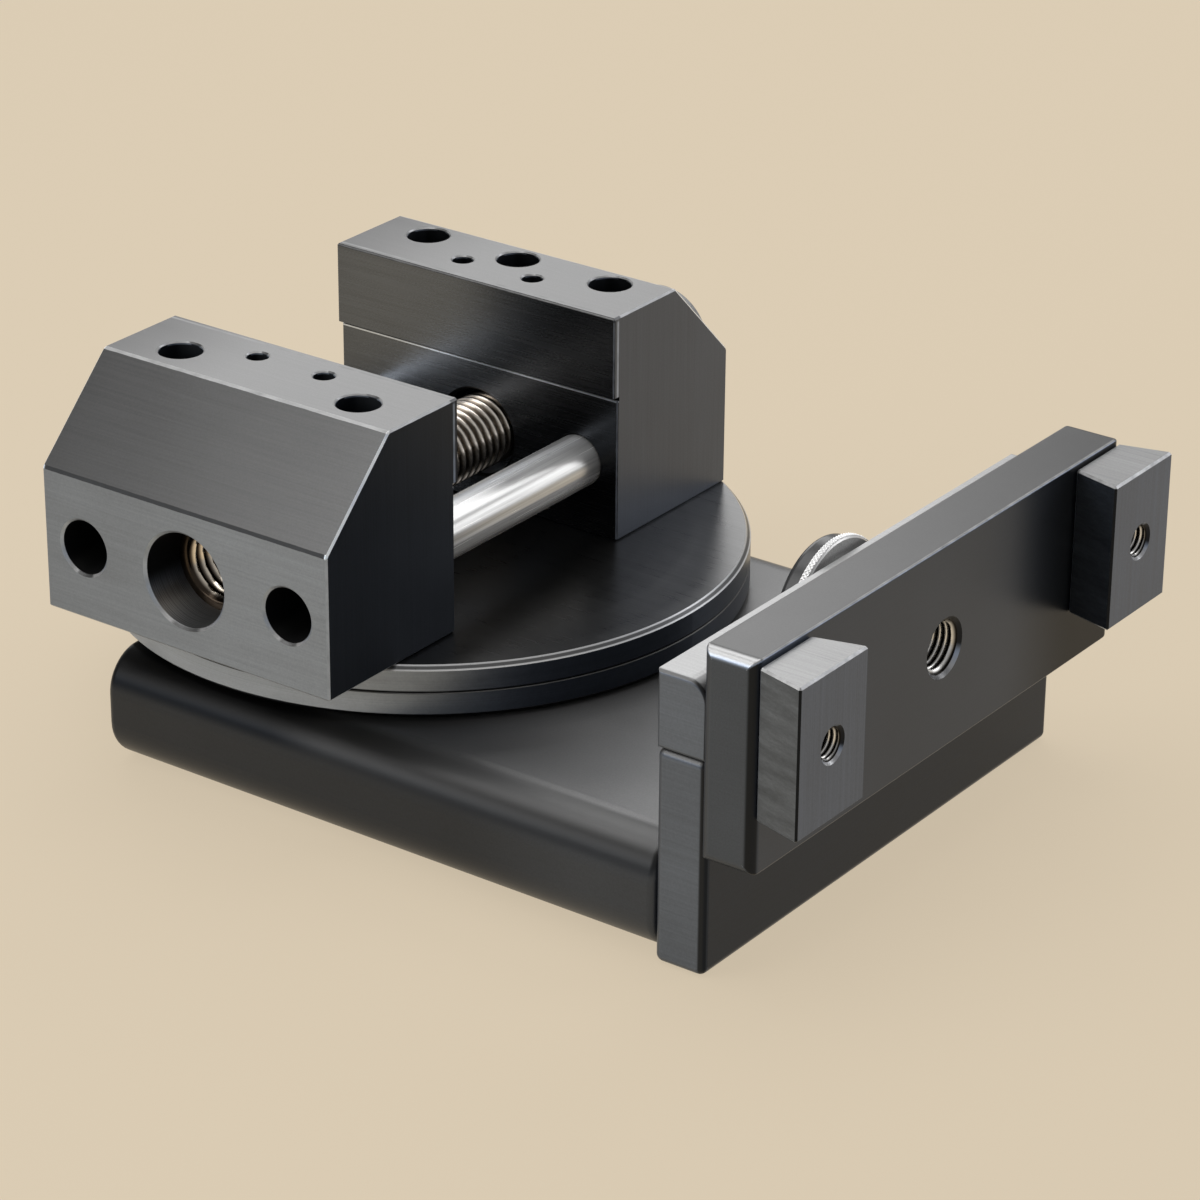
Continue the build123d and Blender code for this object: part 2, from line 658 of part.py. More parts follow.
with BuildPart() as screw_washer:
    washer_plane = at(facing_back, y=rear_back, z=screw_z)
    disc(washer_plane, screw_washer_diameter / 2, screw_washer_thickness)
    disc(washer_plane, journal_radius + running_clearance, screw_washer_thickness, Mode.SUBTRACT)
save(screw_washer, "screw_washer")

# ---------------------------------------------------------------- front jaw
bush_lock_top = screw_z - threaded_bush_diameter / 2
bush_lock_y = (threaded_bush_front + threaded_bush_back) / 2

with BuildPart() as front_jaw:
    jaw_body(front_jaw, front_jaw_bottom, front_grip, front_lower_face, front_outer)
    for x in row(2, front_large_pitch):
        pin_hole(x, front_grip - front_large_setback, large_radius, large_pin_depth)
    for x in row(2, front_small_pitch):
        pin_hole(x, front_grip - front_small_setback, small_radius, small_pin_depth)
    bore_length = front_lower_face - front_outer
    for x in rod_places:
        bore_plane = at(facing_back, x=x, y=front_outer, z=screw_z)
        disc(bore_plane, rod_radius + running_clearance, bore_length, Mode.SUBTRACT)
        mouth(at(facing_front, x=x, y=front_outer, z=screw_z), rod_radius, rod_bore_bevel)
        mouth(at(facing_back, x=x, y=front_lower_face, z=screw_z), rod_radius, rod_bore_bevel)
    bush_bore = at(facing_back, y=front_outer, z=screw_z)
    disc(bush_bore, threaded_bush_diameter / 2, bore_length, Mode.SUBTRACT)
    mouth(at(facing_front, y=front_outer, z=screw_z), threaded_bush_diameter / 2, rod_bore_bevel)
    lock_plane = at(facing_up, y=bush_lock_y, z=front_jaw_bottom)
    disc(lock_plane, bush_lock_diameter / 2, screw_z - front_jaw_bottom, Mode.SUBTRACT)
save(front_jaw, "front_jaw")

with BuildPart() as threaded_bush:
    bush_plane = at(facing_back, y=threaded_bush_front, z=screw_z)
    bush_length = threaded_bush_back - threaded_bush_front
    disc(bush_plane, threaded_bush_diameter / 2, bush_length)
    disc(bush_plane, lead_radius + running_clearance, bush_length, Mode.SUBTRACT)
    mouth(at(facing_front, y=threaded_bush_front, z=screw_z), lead_radius, threaded_bush_bevel)
save(threaded_bush, "threaded_bush")

with BuildPart() as bush_lock_screw:
    end_z = front_jaw_bottom + set_screw_recess
    set_screw(at(facing_down, y=bush_lock_y, z=end_z), bush_lock_diameter, bush_lock_top - end_z)
save(bush_lock_screw, "bush_lock_screw")

# ---------------------------------------------------------------- lead screw and its knob
with BuildPart() as lead_screw:
    lead_plane = Plane(origin=(0, lead_front, screw_z), x_dir=(1, 0, 0), z_dir=(0, 0, 1))
    bevelled_disc(lead_plane, lead_radius, lead_shoulder - lead_front, rod_end_bevel)
    disc(at(facing_back, y=lead_shoulder, z=screw_z), journal_radius, knob_back - knob_dish_depth - lead_shoulder)
    pin_plane = at(facing_up, y=knob_pin_y, z=screw_z - journal_radius)
    disc(pin_plane, knob_pin_diameter / 2, 2 * journal_radius, Mode.SUBTRACT)
save(lead_screw, "lead_screw")

with BuildPart() as screw_knob:
    knob_plane = Plane(origin=(0, knob_front, screw_z), x_dir=(1, 0, 0), z_dir=(0, 0, 1))
    bevelled_disc(knob_plane, knob_radius, knob_length, knob_bevel)
    disc(at(facing_back, y=knob_hub_front, z=screw_z), knob_hub_diameter / 2, knob_hub_length)
    dish_plane = at(facing_back, y=knob_back - knob_dish_depth, z=screw_z)
    disc(dish_plane, knob_dish_diameter / 2, knob_dish_depth, Mode.SUBTRACT)
    hub_plane = at(facing_back, y=knob_hub_front, z=screw_z)
    disc(hub_plane, journal_radius + slip_clearance, knob_back - knob_hub_front, Mode.SUBTRACT)
    pin_plane = at(facing_up, y=knob_pin_y, z=screw_z - knob_hub_diameter / 2)
    disc(pin_plane, knob_pin_diameter / 2, knob_hub_diameter, Mode.SUBTRACT)
save(screw_knob, "screw_knob")

with BuildPart() as screw_knob_pin:
    pin_half = knob_hub_diameter / 2 - rod_bore_bevel
    disc(at(facing_up, y=knob_pin_y, z=screw_z - pin_half), knob_pin_diameter / 2, 2 * pin_half)
save(screw_knob_pin, "screw_knob_pin")
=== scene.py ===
"""Looks for the screw vise on a turntable.

Finishes for the machined pieces, cut threads, a knurled clamp screw, and the lights, floor and camera.
"""
import math

import bmesh
import bpy
import numpy as np
from mathutils import Matrix, Vector


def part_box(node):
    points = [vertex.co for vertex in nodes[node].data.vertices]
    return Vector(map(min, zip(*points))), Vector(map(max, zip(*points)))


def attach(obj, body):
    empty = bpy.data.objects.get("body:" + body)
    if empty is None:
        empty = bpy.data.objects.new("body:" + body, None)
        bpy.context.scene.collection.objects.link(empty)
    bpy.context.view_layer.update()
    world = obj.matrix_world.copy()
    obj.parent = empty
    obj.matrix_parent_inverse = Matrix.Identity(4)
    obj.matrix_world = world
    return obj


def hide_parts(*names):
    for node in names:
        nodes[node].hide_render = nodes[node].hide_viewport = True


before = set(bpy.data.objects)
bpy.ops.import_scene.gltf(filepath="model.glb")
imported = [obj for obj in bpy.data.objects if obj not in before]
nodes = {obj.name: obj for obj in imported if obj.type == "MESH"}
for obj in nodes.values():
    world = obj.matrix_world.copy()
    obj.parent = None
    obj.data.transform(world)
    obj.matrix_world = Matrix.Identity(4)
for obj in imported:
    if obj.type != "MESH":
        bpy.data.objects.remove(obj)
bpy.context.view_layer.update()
MM = 0.001


def box_mm(node):
    """Lowest and highest corner of a CAD node, in millimetres."""
    low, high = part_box(node)
    return [c / MM for c in low], [c / MM for c in high]


# ---------------------------------------------------------------- arithmetic on shader sockets
class Signal:
    """A value on its way through a material; arithmetic on it adds Math nodes."""

    def __init__(self, finish, socket):
        self.finish, self.socket = finish, socket

    def math(self, operation, first, second=0.0):
        return self.finish.node("ShaderNodeMath", {"operation": operation}, {0: first, 1: second})

    def __add__(self, other):
        return self.math("ADD", self, other)

    def __sub__(self, other):
        return self.math("SUBTRACT", self, other)

    def __rsub__(self, other):
        return self.math("SUBTRACT", other, self)

    def __mul__(self, other):
        return self.math("MULTIPLY", self, other)

    def __truediv__(self, other):
        return self.math("DIVIDE", self, other)

    def __pow__(self, other):
        return self.math("POWER", self, other)

    def __abs__(self):
        return self.math("ABSOLUTE", self)

    __radd__, __rmul__ = __add__, __mul__

    def least(self, other):
        return self.math("MINIMUM", self, other)

    def most(self, other):
        return self.math("MAXIMUM", self, other)

    def rise(self, low, high):
        """0 below low and 1 above high, smooth between; with low above high it falls instead."""
        return self.finish.node("ShaderNodeMapRange", {"interpolation_type": "SMOOTHSTEP"},
                                {0: self, 1: low, 2: high, 3: 0.0, 4: 1.0})


class Finish:
    """One material, with the place in millimetres and the face direction at hand."""

    def __init__(self, name):
        self.material = bpy.data.materials.new(name)
        self.material.use_nodes = True
        self.tree = self.material.node_tree
        self.tree.nodes.clear()
        metres = self.node("ShaderNodeTexCoord", output="Object")
        self.place = self.node("ShaderNodeVectorMath", {"operation": "SCALE"}, {0: metres, 3: 1 / MM})
        self.x, self.y, self.z = self.parts(self.place)
        facing = self.node("ShaderNodeTexCoord", output="Normal")
        self.nx, self.ny, self.nz = self.parts(facing)

    def node(self, kind, settings=None, inputs=None, output=0):
        """Adds a node: its settings first, then the values or links of its sockets. Returns one output."""
        made = self.tree.nodes.new(kind)
        for name, value in (settings or {}).items():
            setattr(made, name, value)
        for key, value in (inputs or {}).items():
            if isinstance(value, Signal):
                self.tree.links.new(value.socket, made.inputs[key])
            else:
                made.inputs[key].default_value = value
        return Signal(self, made.outputs[output]) if made.outputs else None

    def parts(self, vector):
        split = self.node("ShaderNodeSeparateXYZ", inputs={0: vector}).socket.node
        return [Signal(self, split.outputs[i]) for i in range(3)]

    def scaled(self, x, y, z):
        return self.node("ShaderNodeVectorMath", {"operation": "MULTIPLY"}, {0: self.place, 1: (x, y, z)})

    def noise(self, vector, scale=1.0, detail=2.0, roughness=0.5):
        """Noise about zero, from about -0.5 to 0.5."""
        return self.node("ShaderNodeTexNoise", inputs={"Vector": vector, "Scale": scale, "Detail": detail,
                                                       "Roughness": roughness}) - 0.5

    def at(self, x, y, z):
        """A vector made of three values."""
        return self.node("ShaderNodeCombineXYZ", inputs={0: x, 1: y, 2: z})

    def tint(self, colour, level):
        """A colour times a level that varies."""
        return self.node("ShaderNodeVectorMath", {"operation": "SCALE"}, {0: colour, 3: level})

    def mix(self, factor, first, second):
        """From the first colour to the second as the factor goes from 0 to 1."""
        return self.node("ShaderNodeMix", {"data_type": "RGBA"},
                         {0: factor, 6: (*first, 1.0), 7: (*second, 1.0)}, output=2)

    def bump(self, height, micrometres, under=None):
        """A normal bent by a height of 0 to 1 that stands for so many micrometres."""
        inputs = {"Strength": 1.0, "Distance": micrometres * 1e-6, "Height": height}
        if under is not None:
            inputs["Normal"] = under
        return self.node("ShaderNodeBump", inputs=inputs)

    def surface(self, **sockets):
        """The shader and the output; sockets go by name with _ for a space."""
        shader = self.node("ShaderNodeBsdfPrincipled",
                           inputs={key.replace("_", " "): value for key, value in sockets.items()})
        return self.made_of(shader)

    def made_of(self, shader):
        self.node("ShaderNodeOutputMaterial", inputs={"Surface": shader})
        return self.material


def second_least(a, b, c, d):
    """The second smallest of four values, which on a solid with flat faces is the distance to the nearest edge."""
    return a.least(b).most(c.least(d)).least(a.most(b).least(c.most(d)))


def streaks(f, axis, per_mm, length):
    """Fine lines along one axis: noise squeezed across them and drawn out along them, in two sizes."""
    def squeezed(k):
        scale = [k, k, k]
        scale["xyz".index(axis)] = k / length
        return f.noise(f.scaled(*scale), detail=3.0, roughness=0.6)
    return squeezed(per_mm), squeezed(per_mm * 0.23)


def aligned(f, *more):
    """1 on faces that look along an axis or one of the other directions given, 0 on the bevels between them."""
    best = abs(f.nx).most(abs(f.ny)).most(abs(f.nz))
    for direction in more:
        best = best.most(direction)
    return best.rise(0.955, 0.985)


def painted_reflection_offset(f, upright):
    """A cool tint painted on upright faces towards +X and -Y, which see the brightest floor, to offset the warm floor
    they reflect; neutral elsewhere.

    Faces towards +X get a little more of it.
    """
    tint = f.mix(f.nz.rise(0.3, 0.65).most((f.ny - f.nx).rise(0.2, 0.6)), upright, NEUTRAL)
    return f.node("ShaderNodeVectorMath", {"operation": "MULTIPLY"},
                  {0: tint, 1: f.mix(f.nx.rise(0.6, 0.85), NEUTRAL, RIGHT_TINT)})


def corner(first, second):
    """1 on a rounded corner that looks between two directions, 0 on the flat faces beside it."""
    return first.rise(0.12, 0.4).least(second.rise(0.12, 0.4))


def top_faces(f):
    return f.nz.rise(0.85, 0.98)


def end_faces(f):
    return abs(f.nx).rise(0.6, 0.85)


def sloped_faces(f):
    return abs(f.ny).least(f.nz).rise(0.45, 0.6)


def away(first, second):
    """The distance from an axis, out of the two distances across it."""
    return (first * first + second * second) ** 0.5


def laid_on(level, rough, marks):
    """A brightness and a roughness with (mask, brightness, roughness) marks laid on in order."""
    for mask, mark_level, mark_rough in marks:
        level = level + (mark_level - level) * mask
        rough = rough + (mark_rough - rough) * mask
    return level, rough


def machined(name, faces, marks, hand=1.0, grain_ends="z", shade=None, tint=None):
    """Brushed steel. Tops, slopes and broad faces are grained along X, and the end faces along grain_ends.

    faces holds (brightness, metal, roughness) for the top, the slope, the broad faces and the end faces; the
    differences in brightness between them are painted shading.
    marks is a function from a finish to (mask, brightness, roughness) tuples, laid on in order; shade is one to a
    factor on the brightness. hand is the strength of the grain.
    """
    f = Finish(name)
    masks = {"top": top_faces(f), "ends": end_faces(f), "slope": sloped_faces(f)}

    def by_face(which):
        value = faces["broad"][which]
        for face, mask in masks.items():
            value = (faces[face][which] - faces["broad"][which]) * mask + value
        return value

    fine, bands = streaks(f, "x", 2.6, 70)
    fine_turned, bands_turned = streaks(f, grain_ends, 2.6, 70)
    fine = fine + (fine_turned - fine) * masks["ends"]
    bands = bands + (bands_turned - bands) * masks["ends"]
    cloud = f.noise(f.place, 0.045, 2.0)
    grit = f.noise(f.place, 3.0, 3.0, 0.6)
    # painted shading: each face direction is given its own brightness
    level = by_face(0) * (1 + fine * 0.42 * hand + bands * 0.14 * hand + cloud * 0.3 + grit * 0.35)
    if shade:
        level = level * shade(f)
    rough = by_face(2) + fine * 0.14 + bands * 0.07 + cloud * 0.08
    level, rough = laid_on(level, rough, marks(f))
    normal = f.bump(fine + bands * 1.5 + grit * 0.4, 5.0 * hand)
    return f.surface(Base_Color=f.tint(painted_reflection_offset(f, tint or COOL_REFLECTION_OFFSET), level), Metallic=by_face(1),
                     Roughness=rough, Normal=normal)


# ---------------------------------------------------------------- finishes
# painted colour: cool tints that offset the warm floor seen in reflections on upright faces, not the steel's own
# colour
COOL_REFLECTION_OFFSET = (0.82, 0.97, 1.23)
RIGHT_TINT = (0.94, 0.985, 1.1)
NEUTRAL = (1.0, 1.0, 1.0)
SLOPE = math.sqrt(0.5)
DOVETAIL = math.radians(15)
jaw_chamfer, jaw_bevel = 17.0, 0.35
pad_height, pad_proud, pad_groove = 15.5, 1.2, 0.8
rod_offset, rod_radius, lead_radius, counterbore_radius = 23.0, 5.0, 7.0, 8.75
screw_z = sum(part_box("lead_screw")[i][2] for i in (0, 1)) / 2 / MM


def jaw_finish(name, node, outer, tint, faces):
    """Brushed jaw: outer is -1 if the slope is on the -Y side and 1 if it is on the +Y side."""
    low, high = box_mm(node)
    reach = high[0]
    seam = high[2] - pad_height
    back = low[1] if outer < 0 else high[1]
    grip = high[1] if outer < 0 else low[1]

    def marks(f):
        along = reach - abs(f.x)
        from_back = abs(f.y - back)
        from_grip = abs(f.y - grip).least(abs(f.y - (grip + outer * pad_proud)))
        across = from_back.least(from_grip)
        down = high[2] - f.z
        up = (f.z - low[2]).least(down)
        slant = (from_back + down - jaw_chamfer) * SLOPE
        wobble = f.noise(f.place, 0.5, 2.0) * 0.1
        # painted highlight: bright lines on the bevelled edges
        line = (second_least(along, across, up, slant) + wobble).rise(jaw_bevel - 0.03, jaw_bevel - 0.11)
        outside = from_back.least(down).least(slant)
        # painted highlight: a bright ring on the hole mouths in the outer faces
        mouth = outside.rise(0.56, 0.5) * (1 - aligned(f, (abs(f.ny) + abs(f.nz)) * SLOPE))
        wall = (1 - abs(f.ny).rise(0.7, 0.9)) * from_back.rise(0.3, 0.6)
        off_screw = away(f.x, f.z - screw_z)
        off_rod = away(abs(f.x) - rod_offset, f.z - screw_z)
        rings = f.noise(f.at(f.y * 6.0, 0.0, 0.0), 1.0, 2.0)
        # painted shade: the pin holes dark inside below their mouths
        pin_wall = along.least(across).rise(1.0, 1.4) * abs(f.nz).rise(0.5, 0.3) * up.rise(0.15, 0.5)
        pin_wall = pin_wall * down.rise(18.5, 17.5)
        highlight_nicks = f.noise(f.place, 0.35, 3.0)
        lower_wall = f.nz.rise(0.1, 0.8)
        shadow_ring = from_grip.rise(0.6, 0.5) * (1 - aligned(f))
        grip_top = down.rise(1.0, 0.6) * from_grip.rise(1.0, 0.6)
        below_seam = seam - f.z
        past_groove = below_seam - pad_groove
        # painted shade in the groove under the grip pad, and a painted highlight on the ledge below it
        seam_painted_shade = from_grip.rise(0.65, 0.52) * below_seam.rise(-0.02, 0.06) * past_groove.rise(0.04, -0.04)
        seam_painted_highlight = from_grip.rise(0.45, 0.3) * past_groove.rise(-0.04, 0.04) * past_groove.rise(0.35, 0.25)
        slope_foot = abs(down - jaw_chamfer).rise(1.6, 1.0) * from_back.rise(1.6, 1.0) * along.rise(0.45, 0.7)
        beside_slope = slant.rise(0.5, 0.3) * along.rise(0.5, 0.4)
        # painted light on the counterbore's lower wall, most towards -X, over its turned rings
        lit_turned_wall = 0.13 + rings * 0.5 + f.x.rise(2, -6) * (0.2 + rings * 0.8)
        # the edge highlight is painted dimmer at the foot of the slope and the top of the grip face, and brighter
        # beside the slope
        edge_level = 0.4 - slope_foot * 0.385 - grip_top * 0.25 + beside_slope * 0.55
        # painted shade: the counterbore and rod bore walls dark
        return [(off_screw.rise(counterbore_radius + 0.55, counterbore_radius + 0.25) * wall,
                 0.01 + lower_wall * lit_turned_wall, 0.6 - lower_wall * 0.3),
                (off_rod.rise(rod_radius + 0.6, rod_radius + 0.4) * wall, 0.015, 0.5),
                (pin_wall, 0.02, 0.45),
                (shadow_ring, 0.008, 0.5),
                (seam_painted_shade, 0.004, 0.5),
                (seam_painted_highlight, 0.75, 0.3),
                (line.most(mouth), edge_level * (1 + highlight_nicks * 0.9), 0.32)]

    def shade(f):
        """Painted shading: brighter towards +X on the slope and the front, dimmer at the far left end of the top, and
        darker on the grip face, most towards +X.
        """
        front = abs(f.ny).rise(0.85, 0.98)
        gripping = (f.ny * -outer).rise(0.8, 0.95)
        shaded = 1 + (f.x / reach) * 0.3 * (sloped_faces(f) + front * 0.35)
        shaded = shaded - f.x.rise(-2, -reach - 6) * 0.65 * top_faces(f)
        return shaded * (1 - gripping * (0.6 + f.x.rise(-6, 24) * 0.3))

    return machined(name, faces, marks, shade=shade, tint=tint)


def plate_finish(name, faces):
    """Side and upper plate: ends brushed level, broad faces painted darker than the tops as shading, soft corners, and
    one upright corner painted dark as shade.
    """
    def marks(f):
        # painted shade: the rounded corner between the -Y and +X faces is dark
        return [((1 - aligned(f)) * 0.7, 0.1, 0.36), (corner(f.ny * -1, f.nx), 0.02, 0.4)]
    return machined(name, faces, marks, grain_ends="y")


def block_finish():
    """End blocks: upright grain on a bright face, level smears on the slanted sides, thin bright corners that are
    painted highlights, and one upright corner painted dark as shade.
    """
    def marks(f):
        highlight_nicks = f.noise(f.place, 0.6, 2.0)
        corner_painted_shade = f.nx.rise(0.35, 0.5) * (f.ny * -1).rise(0.25, 0.45) * f.nz.rise(0.5, 0.2)
        slanted = abs(f.ny) * math.cos(DOVETAIL) - f.nx * math.sin(DOVETAIL)
        # painted highlight on the bevels, and painted shade on the corner between the +X and -Y faces
        return [(1 - aligned(f, slanted), 0.42 * (1 + highlight_nicks), 0.3), (corner_painted_shade, 0.015, 0.4)]

    def shade(f):
        smear = f.noise(f.scaled(0.05, 0.05, 0.35), 1.0, 3.0, 0.6)
        return 1 + smear * 1.3 * abs(f.ny).rise(0.6, 0.85)
    # painted shading: the top is given brighter than the other faces
    faces = {"top": (0.3, 0.8, 0.34), "slope": (0.2, 0.8, 0.36), "broad": (0.15, 0.9, 0.32),
             "ends": (0.135, 0.6, 0.38)}
    return machined("ground_block_steel", faces, marks, 1.4, shade=shade)


def speckled_finish(name, levels, metal, roughness, marks, tint, shade=None, bare=None):
    """Dark satin steel with a fine even speckle; levels are for tops, faces across Y and faces across X, and the
    differences between them are painted shading.

    bare is a function from a finish to a mask of the places that look like plain metal.
    """
    f = Finish(name)
    speckle = f.noise(f.place, 3.2, 3.0, 0.65)
    fine = f.noise(f.scaled(0.12, 0.12, 3.0), 1.0, 3.0, 0.6)
    cloud = f.noise(f.place, 0.035, 2.0)
    # painted shading: tops, faces across Y and faces across X are given their own brightness
    level = levels[1] + (levels[0] - levels[1]) * top_faces(f)
    level = level + (levels[2] - level) * end_faces(f)
    level = level * (1 + speckle * 0.5 + fine * 0.12 + cloud * 0.35)
    if shade:
        level = level * shade(f)
    rough = roughness + speckle * 0.12 + cloud * 0.08
    level, rough = laid_on(level, rough, marks(f))
    if bare:
        metal = metal + bare(f) * (0.95 - metal)
    return f.surface(Base_Color=f.tint(painted_reflection_offset(f, tint), level), Metallic=metal, Roughness=rough,
                     Normal=f.bump(speckle + fine * 0.5, 9.0))


def base_finish():
    """The base: satin black; the round of its top edge has a painted highlight towards the plates and is painted dark
    elsewhere, and its top is painted lighter to the right and darker at the left end and near the front.
    """
    low, high = box_mm("base_block")

    def marks(f):
        # painted shade on the front round of the top, with a painted highlight on it towards +X
        fillet_highlight = (f.ny * -1).rise(0.12, 0.3) * f.nz.rise(0.6, 0.85) * f.x.rise(15, high[0] - 4)
        return [(corner(f.ny * -1, f.nz), 0.014, 0.36), (fillet_highlight, 0.095, 0.32)]

    def shade(f):
        # painted light and shade: the top lighter to the right and darker at the left end, and darker near the front
        # on the left and middle
        right = f.x.rise(10, high[0])
        front = f.y.rise(-30, -50) * f.x.rise(85, 50)
        return 1 + (right * 1.9 - f.x.rise(40, -10) * 0.45) * (1 - front * 0.65) * f.nz.rise(0.8, 0.95) - front * 0.45
    return speckled_finish("satin_black_steel", (0.07, 0.06, 0.045), 0.5, 0.36, marks, (0.84, 0.975, 1.2), shade,
                           bare=lambda f: corner(f.ny * -1, f.nz) * f.x.rise(25, 10))


def bar_finish():
    """The cross bar: satin black with a grainy top; the top is painted lighter at its near end, its top corners carry
    painted highlights, and one upright corner is painted dark as shade.
    """
    low, high = box_mm("cross_bar")

    def marks(f):
        end_top = corner(f.ny * -1, f.nz)
        highlight_nicks = f.noise(f.place, 0.5, 2.0)
        top_line = corner(f.nx, f.nz)
        # painted highlights on the top edge along the bar and on the near top end; painted shade on the corner between
        # the -Y and +X faces
        return [((1 - aligned(f)) * 0.7, 0.07, 0.34), (top_line, 0.2 * (1 + highlight_nicks), 0.3),
                (corner(f.ny * -1, f.nx), 0.015, 0.4), (end_top, 0.42, 0.28)]

    def beside_block(f):
        """The bar's face next to the far end block, which shades it."""
        return f.nx.rise(0.8, 0.95) * f.y.rise(high[1] * 0.25, high[1] * 0.75)

    def shade(f):
        # painted light on the top towards the near end, and a painted shadow on the face beside the far end block
        return (1 + f.y.rise(high[1] * 0.3, low[1]) * 0.22 * f.nz.rise(0.8, 0.95)) * (1 - beside_block(f) * 0.85)
    return speckled_finish("cross_bar_steel", (0.086, 0.095, 0.066), 0.72, 0.33, marks, COOL_REFLECTION_OFFSET, shade)


def turned_finish():
    """The turntable: fine lines on top and turned lines on the rim, with painted highlights on the bevels, painted
    shade in the groove, and painted light on the top towards +X and +Y and on the front of the rim.
    """
    f = Finish("turned_table_steel")
    low, high = box_mm("turntable")
    radius = away(f.x, f.y)
    side = radius.rise(high[0] - 0.25, high[0] - 0.1)
    rings = f.noise(f.at(f.z * 4.0, 0.0, 0.0), 1.0, 3.0, 0.65)
    fine, bands = streaks(f, "x", 2.4, 30)
    grit = f.noise(f.place, 2.6, 3.0, 0.6)
    fine = fine + (rings - fine) * side
    broad = f.noise(f.at(radius * 0.25, f.z * 0.5, 4.0), 1.0, 2.0)
    level_faces = abs(f.nz).rise(0.9, 0.97).most((1 - abs(f.nz)).rise(0.9, 0.97))
    down = high[2] - f.z
    edge = (1 - level_faces) * radius.rise(high[0] - 2.5, high[0] - 2.0) * down.rise(1.6, 1.2)
    edge_line = edge * down.rise(0.3, 0.15).most(down.rise(0.6, 0.75))
    groove = abs(down - 5.0).rise(0.4, 0.25) * radius.rise(high[0] - 1.0, high[0] - 0.9)
    # painted light: the top brighter towards +X and +Y, and the rim brighter on its front and -X side
    painted_top_light = (f.x * 0.85 + f.y * 0.5).rise(24, 50) * f.nz.rise(0.8, 0.95)
    front_side = side * f.nx.rise(0.95, 0.35)
    level = 0.035 + 0.12 * painted_top_light + 0.03 * side + 0.33 * front_side
    level = level * (1 + fine * 0.5 + broad * 0.3 + bands * 0.3 + grit * 0.25)
    # painted highlights on the bevels and their edge lines, and painted shade in the groove
    level = level + (0.14 - level) * edge
    level = level + (0.7 - level) * edge_line
    level = level * (1 - groove * 0.6)
    rough = 0.3 + fine * 0.14 + broad * 0.06 + front_side * 0.1
    return f.surface(Base_Color=f.tint(painted_reflection_offset(f, (0.87, 0.985, 1.16)), level), Roughness=rough,
                     Metallic=0.95 - front_side * 0.5, Normal=f.bump(fine + bands + grit * 0.5, 6.0))


def rod_finish():
    """Ground guide rods: broad pale and grey bands along Y under fine lines; their ends are blackened."""
    f = Finish("ground_rod_steel")
    fine, bands = streaks(f, "y", 2.2, 60)
    wide = f.noise(f.scaled(0.35, 0.012, 0.35), 1.0, 2.0)
    level = (0.72 + fine * 0.5 + bands * 0.9 + wide * 1.1) * (1 - 0.93 * abs(f.ny).rise(0.6, 0.8))
    return f.surface(Base_Color=f.tint(NEUTRAL, level), Metallic=0.5, Roughness=0.26 + fine * 0.1 + bands * 0.1,
                     Normal=f.bump(fine + bands, 2.0))


def turned_metal_finish(name, colour, roughness, metal=1.0):
    """Small turned parts: an even fine grain with soft patches."""
    f = Finish(name)
    grainy = f.noise(f.place, 4.0, 3.0, 0.6)
    cloud = f.noise(f.place, 0.2, 2.0)
    level = 1 + grainy * 0.25 + cloud * 0.35
    return f.surface(Base_Color=f.tint(colour, level), Metallic=metal,
                     Roughness=roughness + grainy * 0.1 + cloud * 0.1, Normal=f.bump(grainy, 3.0))


def thread_finish(name, colour, dark, axis, centre, crest, root, roughness):
    """Cut thread along X or Y: crests painted bright as highlight and roots painted dark as shade, by the distance
    from its axis.
    """
    f = Finish(name)
    across = f.x - centre[0] if axis == "y" else f.y - centre[0]
    # painted highlight on the crests and painted shade in the roots
    up = away(across, f.z - centre[1]).rise(root, crest)
    smear = f.noise(f.place, 1.2, 3.0)
    fine = f.noise(f.place, 8.0, 2.0)
    level = 1 + smear * 0.4 + fine * 0.2
    return f.surface(Base_Color=f.tint(f.mix(up, dark, colour), level), Metallic=1.0,
                     Roughness=roughness + smear * 0.15 + fine * 0.06, Normal=f.bump(fine + smear, 3.0))


def knob_finish():
    """The clamp screw's flange: bright knurled rim and a matte speckled face."""
    f = Finish("knurled_knob_steel")
    speckle = f.noise(f.place, 5.0, 3.0, 0.7)
    face = abs(f.nx).rise(0.9, 0.97)
    level = (1.0 + speckle * 0.3) * (1 - face) + (0.75 + speckle * 0.8) * face
    return f.surface(Base_Color=f.tint(NEUTRAL, level), Metallic=0.5, Roughness=0.3 + 0.25 * face + speckle * 0.1,
                     Normal=f.bump(speckle, 8.0))


def cap_finish():
    """Smooth black moulded cap with faint rubbing marks."""
    f = Finish("black_moulded_cap")
    haze = f.noise(f.place, 0.6, 3.0)
    fine = f.noise(f.place, 6.0, 2.0)
    return f.surface(Base_Color=f.tint((0.011, 0.011, 0.012), 1 + haze * 0.5), Metallic=0.0,
                     Roughness=0.3 + haze * 0.12 + fine * 0.05, Normal=f.bump(fine, 1.5), Coat_Weight=0.3,
                     Coat_Roughness=0.2)


rod = rod_finish()
